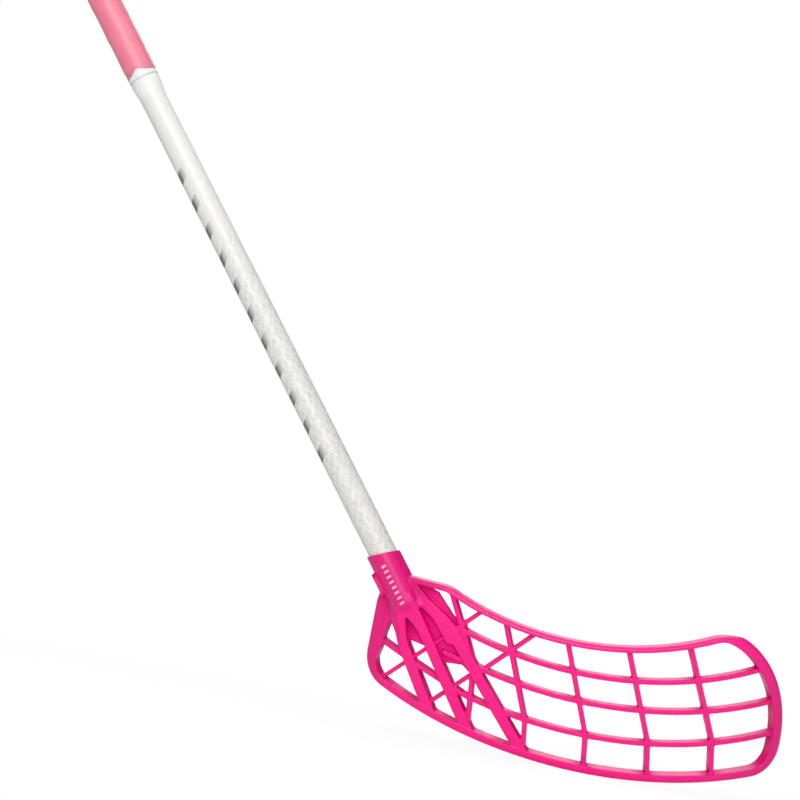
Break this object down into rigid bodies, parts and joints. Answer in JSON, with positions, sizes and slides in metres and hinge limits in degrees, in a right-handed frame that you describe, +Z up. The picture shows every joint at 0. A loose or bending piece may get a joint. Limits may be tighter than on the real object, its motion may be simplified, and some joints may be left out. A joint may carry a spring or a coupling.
{
  "type": "floorball stick",
  "caption": "Floorball stick: hooked lattice blade moulded with an angled socket, a straight hollow shaft screwed into it, and a wound grip with tapered collar and butt cap.",
  "frame": {"origin": "point on the shaft axis at the middle of the grip, where the stick is held", "axes": "+X along the blade from heel to toe, +Y to the forehand side the blade is hooked towards, +Z up, with the blade's lower edge level as it stands in play and the shaft leaning back towards -X"},
  "size_m": [0.7434, 0.0522, 0.6932],
  "materials": {
    "blade_pink": "glossy moulded",
    "shaft_white": "glossy lacquered",
    "grip_salmon": "soft matte",
    "collar_white": "satin",
    "cap_white": "matte",
    "screw_steel": "zinc plated"
  },
  "bodies": {
    "root": {"blade": "blade_pink", "shaft_tube": "shaft_white", "grip_wrap": "grip_salmon", "grip_collar": "collar_white", "end_cap": "cap_white", "blade_screw": "screw_steel"}
  },
  "joints": []
}
